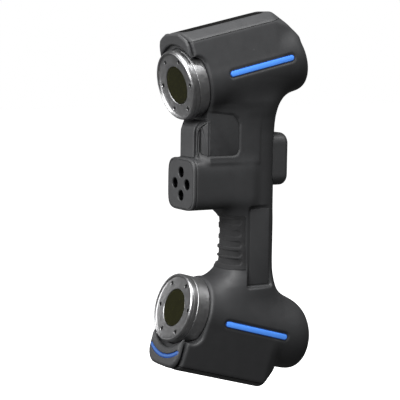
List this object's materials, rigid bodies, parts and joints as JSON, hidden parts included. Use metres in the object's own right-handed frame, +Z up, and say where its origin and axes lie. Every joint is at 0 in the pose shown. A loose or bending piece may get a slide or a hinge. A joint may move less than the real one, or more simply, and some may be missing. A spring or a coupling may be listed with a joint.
{
  "type": "handheld 3d scanner",
  "caption": "Handheld 3D laser scanner: two tilted camera heads joined by an upright grip, with a laser projector between them and buttons on the back.",
  "frame": {"origin": "middle of the bounding box", "axes": "+Z up along the grip, -Y to the front where the lenses and projector look, +X to the left side of the scanner as its user holds it"},
  "size_m": [0.06, 0.136, 0.3104],
  "materials": {
    "housing": "fine-textured matte charcoal",
    "cover_plastic": "fine-textured matte charcoal, slightly lighter",
    "panel_plastic": "smooth matte charcoal",
    "grip_rubber": "soft matte black",
    "bezel_metal": "dark anodised, turned and satin",
    "collar_metal": "dark anodised, bead blasted",
    "window_glass": "dark filter glass",
    "seal_rubber": "black gasket",
    "light_blue": "blue diffuser",
    "lens_black": "black anodised",
    "frame_metal": "milled",
    "module_brass": "turned",
    "circuit_board": "green circuit board",
    "button_rubber": "soft matte",
    "socket_metal": "plated",
    "screw_steel": "black oxide"
  },
  "bodies": {
    "scanner": {"housing_left": "housing", "housing_right": "housing", "roof_cover": "cover_plastic", "keel_cover": "cover_plastic", "hood": "cover_plastic", "chin": "cover_plastic", "centre_cover": "cover_plastic", "projector_face_plate": "cover_plastic", "control_pod": "cover_plastic", "left_side_panel": "panel_plastic", "right_side_panel": "panel_plastic", "left_vent_panel": "panel_plastic", "right_vent_panel": "panel_plastic", "finger_pad": "grip_rubber", "left_grip_pad": "grip_rubber", "right_grip_pad": "grip_rubber", "roof_strip": "grip_rubber", "upper_bezel_ring": "bezel_metal", "lower_bezel_ring": "bezel_metal", "upper_collar": "collar_metal", "lower_collar": "collar_metal", "upper_window": "window_glass", "lower_window": "window_glass", "projector_glass": "window_glass", "upper_window_seal": "seal_rubber", "lower_window_seal": "seal_rubber", "chin_light": "light_blue", "upper_left_light_bar": "light_blue", "upper_right_light_bar": "light_blue", "lower_left_light_bar": "light_blue", "lower_right_light_bar": "light_blue", "upper_lens_barrel": "lens_black", "lower_lens_barrel": "lens_black", "upper_camera_mount": "frame_metal", "lower_camera_mount": "frame_metal", "optical_backbone": "frame_metal", "laser_block": "frame_metal", "laser_module_top": "module_brass", "laser_module_bottom": "module_brass", "laser_module_left": "module_brass", "laser_module_right": "module_brass", "upper_led_board": "circuit_board", "lower_led_board": "circuit_board", "upper_sensor_board": "circuit_board", "lower_sensor_board": "circuit_board", "main_board": "circuit_board", "button_board": "circuit_board", "cable_socket": "socket_metal", "housing_screw_1": "screw_steel", "housing_screw_2": "screw_steel", "housing_screw_3": "screw_steel", "housing_screw_4": "screw_steel", "housing_screw_5": "screw_steel", "housing_screw_6": "screw_steel"},
    "scan_key": {"scan_button": "button_rubber"},
    "plus_key": {"plus_button": "button_rubber"},
    "minus_key": {"minus_button": "button_rubber"}
  },
  "joints": [
    {"name": "scan_press", "type": "slide", "parent": "scanner", "child": "scan_key", "axis": [0, -1, 0], "range_m": [0, 0.0012], "stiffness_N_per_m": 900, "springref_m": -0.0005},
    {"name": "plus_press", "type": "slide", "parent": "scanner", "child": "plus_key", "axis": [0, -1, 0], "range_m": [0, 0.0012], "stiffness_N_per_m": 900, "springref_m": -0.0005},
    {"name": "minus_press", "type": "slide", "parent": "scanner", "child": "minus_key", "axis": [0, -1, 0], "range_m": [0, 0.0012], "stiffness_N_per_m": 900, "springref_m": -0.0005}
  ]
}
